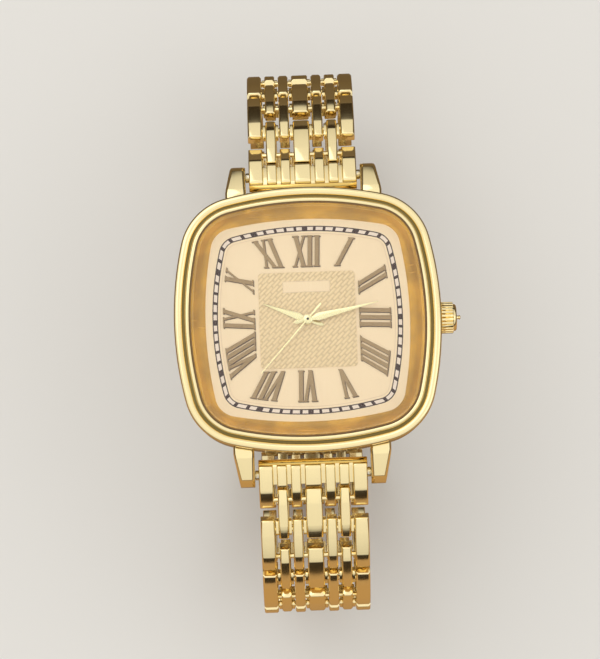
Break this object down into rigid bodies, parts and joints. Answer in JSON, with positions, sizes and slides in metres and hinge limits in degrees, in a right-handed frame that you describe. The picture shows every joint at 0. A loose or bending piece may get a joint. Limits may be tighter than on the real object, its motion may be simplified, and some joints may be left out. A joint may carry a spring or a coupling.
{
  "type": "square watch",
  "caption": "Cushion-shaped quartz wristwatch with a square dial, fluted crown and hinged lugs, closed on a brick-link bracelet with a fold-over clasp.",
  "frame": {"origin": "centre of the case back's outer face, which lies on the wrist", "axes": "+Z out of the dial, +Y towards twelve o'clock, +X towards the crown"},
  "size_m": [0.038, 0.0746, 0.043],
  "materials": {
    "case_gold": "polished yellow gold plate",
    "bracelet_gold": "polished yellow gold plate",
    "clasp_gold": "gold-plated steel, polished outside and satin inside",
    "crown_gold": "polished yellow gold plate with fluted edge",
    "hand_gold": "thin faceted gold-plated brass",
    "flange_gold": "polished gold sloped ring",
    "dial_champagne": "champagne sunray dial with a stamped basket-weave centre",
    "crystal_glass": "clear mineral glass",
    "gasket_rubber": "black seal",
    "back_steel": "circular-brushed steel",
    "bar_steel": "turned steel",
    "movement_steel": "bright steel",
    "movement_brass": "plain brass",
    "holder_plastic": "white moulded plastic",
    "battery_steel": "satin steel",
    "board_green": "green laminate",
    "coil_copper": "varnished copper wire"
  },
  "bodies": {
    "case": {"case_middle": "case_gold", "bezel": "case_gold", "crystal": "crystal_glass", "crystal_gasket": "gasket_rubber", "flange_ring": "flange_gold", "dial": "dial_champagne", "case_back": "back_steel", "back_gasket": "gasket_rubber", "spring_bars": "bar_steel", "main_plate": "movement_brass", "movement_holder": "holder_plastic", "train_bridge": "movement_steel", "battery": "battery_steel", "battery_clamp": "movement_steel", "circuit_board": "board_green", "motor_coil": "coil_copper", "motor_stator": "movement_steel"},
    "lever": {"setting_lever": "movement_steel"},
    "crown": {"crown": "crown_gold", "winding_stem": "movement_steel"},
    "seconds": {"second_hand": "hand_gold", "fourth_wheel": "movement_brass"},
    "minutes": {"minute_hand": "hand_gold", "centre_wheel": "movement_brass"},
    "hours": {"hour_hand": "hand_gold", "hour_wheel": "movement_brass"},
    "third_wheel": {"third_wheel": "movement_brass"},
    "rotor": {"motor_rotor": "movement_steel"},
    "end_link_12": {"end_link_12": "bracelet_gold"},
    "link_row_12_01": {"link_row_12_01": "bracelet_gold"},
    "link_row_12_02": {"link_row_12_02": "bracelet_gold"},
    "link_row_12_03": {"link_row_12_03": "bracelet_gold"},
    "link_row_12_04": {"link_row_12_04": "bracelet_gold"},
    "link_row_12_05": {"link_row_12_05": "bracelet_gold"},
    "link_row_12_06": {"link_row_12_06": "bracelet_gold"},
    "link_row_12_07": {"link_row_12_07": "bracelet_gold"},
    "link_row_12_08": {"link_row_12_08": "bracelet_gold"},
    "link_row_12_09": {"link_row_12_09": "bracelet_gold"},
    "link_row_12_10": {"link_row_12_10": "bracelet_gold"},
    "link_row_12_11": {"link_row_12_11": "bracelet_gold"},
    "link_row_12_12": {"link_row_12_12": "bracelet_gold"},
    "end_link_6": {"end_link_6": "bracelet_gold"},
    "link_row_6_01": {"link_row_6_01": "bracelet_gold"},
    "link_row_6_02": {"link_row_6_02": "bracelet_gold"},
    "link_row_6_03": {"link_row_6_03": "bracelet_gold"},
    "link_row_6_04": {"link_row_6_04": "bracelet_gold"},
    "link_row_6_05": {"link_row_6_05": "bracelet_gold"},
    "link_row_6_06": {"link_row_6_06": "bracelet_gold"},
    "link_row_6_07": {"link_row_6_07": "bracelet_gold"},
    "link_row_6_08": {"link_row_6_08": "bracelet_gold"},
    "link_row_6_09": {"link_row_6_09": "bracelet_gold"},
    "link_row_6_10": {"link_row_6_10": "bracelet_gold"},
    "link_row_6_11": {"link_row_6_11": "bracelet_gold"},
    "link_row_6_12": {"link_row_6_12": "bracelet_gold"},
    "lower_blade": {"clasp_lower_blade": "clasp_gold", "clasp_bar_6": "bar_steel"},
    "middle_blade": {"clasp_middle_blade": "clasp_gold"},
    "clasp_cover": {"clasp_cover": "clasp_gold", "clasp_bar_12": "bar_steel"}
  },
  "joints": [
    {"name": "crown_pull", "type": "slide", "parent": "case", "child": "lever", "axis": [1, 0, 0], "range_m": [0, 0.001]},
    {"name": "crown_turn", "type": "hinge", "parent": "lever", "child": "crown", "pos_m": [0.0177, 0, 0.003], "axis": [1, 0, 0], "continuous": true},
    {"name": "second_hand_turn", "type": "hinge", "parent": "case", "child": "seconds", "pos_m": [0, 0, 0.00626], "axis": [0, 0, -1], "continuous": true},
    {"name": "minute_hand_turn", "type": "hinge", "parent": "case", "child": "minutes", "pos_m": [0, 0, 0.00593], "axis": [0, 0, -1], "continuous": true},
    {"name": "hour_hand_turn", "type": "hinge", "parent": "case", "child": "hours", "pos_m": [0, 0, 0.0056], "axis": [0, 0, -1], "continuous": true},
    {"name": "third_wheel_turn", "type": "hinge", "parent": "case", "child": "third_wheel", "pos_m": [-0.0015, 0.00161, 0.00255], "axis": [0, 0, -1], "continuous": true},
    {"name": "rotor_turn", "type": "hinge", "parent": "case", "child": "rotor", "pos_m": [-0.0045, 0.0046, 0.0027], "axis": [0, 0, -1], "continuous": true},
    {"name": "lug_hinge_12", "type": "hinge", "parent": "case", "child": "end_link_12", "pos_m": [0, 0.02, 0.0017], "axis": [1, 0, 0], "range_deg": [0, 20]},
    {"name": "link_hinge_12_01", "type": "hinge", "parent": "end_link_12", "child": "link_row_12_01", "pos_m": [0, 0.0232, 0.00054], "axis": [1, 0, 0], "range_deg": [0, 6.9]},
    {"name": "link_hinge_12_02", "type": "hinge", "parent": "link_row_12_01", "child": "link_row_12_02", "pos_m": [0, 0.02694, -0.00136], "axis": [1, 0, 0], "range_deg": [0, 8.42]},
    {"name": "link_hinge_12_03", "type": "hinge", "parent": "link_row_12_02", "child": "link_row_12_03", "pos_m": [0, 0.03037, -0.00379], "axis": [1, 0, 0], "range_deg": [0, 11.07]},
    {"name": "link_hinge_12_04", "type": "hinge", "parent": "link_row_12_03", "child": "link_row_12_04", "pos_m": [0, 0.03326, -0.00683], "axis": [1, 0, 0], "range_deg": [0, 14.2]},
    {"name": "link_hinge_12_05", "type": "hinge", "parent": "link_row_12_04", "child": "link_row_12_05", "pos_m": [0, 0.03533, -0.01049], "axis": [1, 0, 0], "range_deg": [0, 16.98]},
    {"name": "link_hinge_12_06", "type": "hinge", "parent": "link_row_12_05", "child": "link_row_12_06", "pos_m": [0, 0.03623, -0.01459], "axis": [1, 0, 0], "range_deg": [0, 18.69]},
    {"name": "link_hinge_12_07", "type": "hinge", "parent": "link_row_12_06", "child": "link_row_12_07", "pos_m": [0, 0.03577, -0.01877], "axis": [1, 0, 0], "range_deg": [0, 18.79]},
    {"name": "link_hinge_12_08", "type": "hinge", "parent": "link_row_12_07", "child": "link_row_12_08", "pos_m": [0, 0.03399, -0.02257], "axis": [1, 0, 0], "range_deg": [0, 17.14]},
    {"name": "link_hinge_12_09", "type": "hinge", "parent": "link_row_12_08", "child": "link_row_12_09", "pos_m": [0, 0.03117, -0.02568], "axis": [1, 0, 0], "range_deg": [0, 13.98]},
    {"name": "link_hinge_12_10", "type": "hinge", "parent": "link_row_12_09", "child": "link_row_12_10", "pos_m": [0, 0.02768, -0.02802], "axis": [1, 0, 0], "range_deg": [0, 9.91]},
    {"name": "link_hinge_12_11", "type": "hinge", "parent": "link_row_12_10", "child": "link_row_12_11", "pos_m": [0, 0.02384, -0.02973], "axis": [1, 0, 0], "range_deg": [0, 5.76]},
    {"name": "link_hinge_12_12", "type": "hinge", "parent": "link_row_12_11", "child": "link_row_12_12", "pos_m": [0, 0.01985, -0.03103], "axis": [1, 0, 0], "range_deg": [0, 2.38]},
    {"name": "lug_hinge_6", "type": "hinge", "parent": "case", "child": "end_link_6", "pos_m": [0, -0.02, 0.0017], "axis": [-1, 0, 0], "range_deg": [0, 20]},
    {"name": "link_hinge_6_01", "type": "hinge", "parent": "end_link_6", "child": "link_row_6_01", "pos_m": [0, -0.0232, 0.00054], "axis": [-1, 0, 0], "range_deg": [0, 6.9]},
    {"name": "link_hinge_6_02", "type": "hinge", "parent": "link_row_6_01", "child": "link_row_6_02", "pos_m": [0, -0.02694, -0.00136], "axis": [-1, 0, 0], "range_deg": [0, 8.42]},
    {"name": "link_hinge_6_03", "type": "hinge", "parent": "link_row_6_02", "child": "link_row_6_03", "pos_m": [0, -0.03037, -0.00379], "axis": [-1, 0, 0], "range_deg": [0, 11.07]},
    {"name": "link_hinge_6_04", "type": "hinge", "parent": "link_row_6_03", "child": "link_row_6_04", "pos_m": [0, -0.03326, -0.00683], "axis": [-1, 0, 0], "range_deg": [0, 14.2]},
    {"name": "link_hinge_6_05", "type": "hinge", "parent": "link_row_6_04", "child": "link_row_6_05", "pos_m": [0, -0.03533, -0.01049], "axis": [-1, 0, 0], "range_deg": [0, 16.98]},
    {"name": "link_hinge_6_06", "type": "hinge", "parent": "link_row_6_05", "child": "link_row_6_06", "pos_m": [0, -0.03623, -0.01459], "axis": [-1, 0, 0], "range_deg": [0, 18.69]},
    {"name": "link_hinge_6_07", "type": "hinge", "parent": "link_row_6_06", "child": "link_row_6_07", "pos_m": [0, -0.03577, -0.01877], "axis": [-1, 0, 0], "range_deg": [0, 18.79]},
    {"name": "link_hinge_6_08", "type": "hinge", "parent": "link_row_6_07", "child": "link_row_6_08", "pos_m": [0, -0.03399, -0.02257], "axis": [-1, 0, 0], "range_deg": [0, 17.14]},
    {"name": "link_hinge_6_09", "type": "hinge", "parent": "link_row_6_08", "child": "link_row_6_09", "pos_m": [0, -0.03117, -0.02568], "axis": [-1, 0, 0], "range_deg": [0, 13.98]},
    {"name": "link_hinge_6_10", "type": "hinge", "parent": "link_row_6_09", "child": "link_row_6_10", "pos_m": [0, -0.02768, -0.02802], "axis": [-1, 0, 0], "range_deg": [0, 9.91]},
    {"name": "link_hinge_6_11", "type": "hinge", "parent": "link_row_6_10", "child": "link_row_6_11", "pos_m": [0, -0.02384, -0.02973], "axis": [-1, 0, 0], "range_deg": [0, 5.76]},
    {"name": "link_hinge_6_12", "type": "hinge", "parent": "link_row_6_11", "child": "link_row_6_12", "pos_m": [0, -0.01985, -0.03103], "axis": [-1, 0, 0], "range_deg": [0, 2.38]},
    {"name": "blade_hinge", "type": "hinge", "parent": "link_row_6_12", "child": "lower_blade", "pos_m": [0, -0.01581, -0.03218], "axis": [-1, 0, 0], "range_deg": [0, 0.4916]},
    {"name": "clasp_opening", "type": "hinge", "parent": "lower_blade", "child": "middle_blade", "pos_m": [0, 0.0113, -0.03307], "axis": [1, 0, 0], "range_deg": [0, 150]},
    {"name": "cover_hinge", "type": "hinge", "parent": "middle_blade", "child": "clasp_cover", "pos_m": [0, -0.01194, -0.0332], "axis": [-1, 0, 0], "range_deg": [0, 150]}
  ],
  "couplings": [
    {"joint": "minute_hand_turn", "follows": "second_hand_turn", "ratio": 0.016667},
    {"joint": "hour_hand_turn", "follows": "second_hand_turn", "ratio": 0.001389},
    {"joint": "third_wheel_turn", "follows": "second_hand_turn", "ratio": -0.13333},
    {"joint": "rotor_turn", "follows": "second_hand_turn", "ratio": 30},
    {"joint": "link_hinge_12_01", "follows": "lug_hinge_12", "ratio": 0.34511},
    {"joint": "link_hinge_12_02", "follows": "lug_hinge_12", "ratio": 0.42096},
    {"joint": "link_hinge_12_03", "follows": "lug_hinge_12", "ratio": 0.5537},
    {"joint": "link_hinge_12_04", "follows": "lug_hinge_12", "ratio": 0.70983},
    {"joint": "link_hinge_12_05", "follows": "lug_hinge_12", "ratio": 0.84916},
    {"joint": "link_hinge_12_06", "follows": "lug_hinge_12", "ratio": 0.9343},
    {"joint": "link_hinge_12_07", "follows": "lug_hinge_12", "ratio": 0.93952},
    {"joint": "link_hinge_12_08", "follows": "lug_hinge_12", "ratio": 0.85703},
    {"joint": "link_hinge_12_09", "follows": "lug_hinge_12", "ratio": 0.69911},
    {"joint": "link_hinge_12_10", "follows": "lug_hinge_12", "ratio": 0.49572},
    {"joint": "link_hinge_12_11", "follows": "lug_hinge_12", "ratio": 0.28797},
    {"joint": "link_hinge_12_12", "follows": "lug_hinge_12", "ratio": 0.11906},
    {"joint": "link_hinge_6_01", "follows": "lug_hinge_6", "ratio": 0.34511},
    {"joint": "link_hinge_6_02", "follows": "lug_hinge_6", "ratio": 0.42096},
    {"joint": "link_hinge_6_03", "follows": "lug_hinge_6", "ratio": 0.5537},
    {"joint": "link_hinge_6_04", "follows": "lug_hinge_6", "ratio": 0.70983},
    {"joint": "link_hinge_6_05", "follows": "lug_hinge_6", "ratio": 0.84916},
    {"joint": "link_hinge_6_06", "follows": "lug_hinge_6", "ratio": 0.9343},
    {"joint": "link_hinge_6_07", "follows": "lug_hinge_6", "ratio": 0.93952},
    {"joint": "link_hinge_6_08", "follows": "lug_hinge_6", "ratio": 0.85703},
    {"joint": "link_hinge_6_09", "follows": "lug_hinge_6", "ratio": 0.69911},
    {"joint": "link_hinge_6_10", "follows": "lug_hinge_6", "ratio": 0.49572},
    {"joint": "link_hinge_6_11", "follows": "lug_hinge_6", "ratio": 0.28797},
    {"joint": "link_hinge_6_12", "follows": "lug_hinge_6", "ratio": 0.11906},
    {"joint": "blade_hinge", "follows": "lug_hinge_6", "ratio": 0.024575},
    {"joint": "cover_hinge", "follows": "clasp_opening", "ratio": 1}
  ]
}
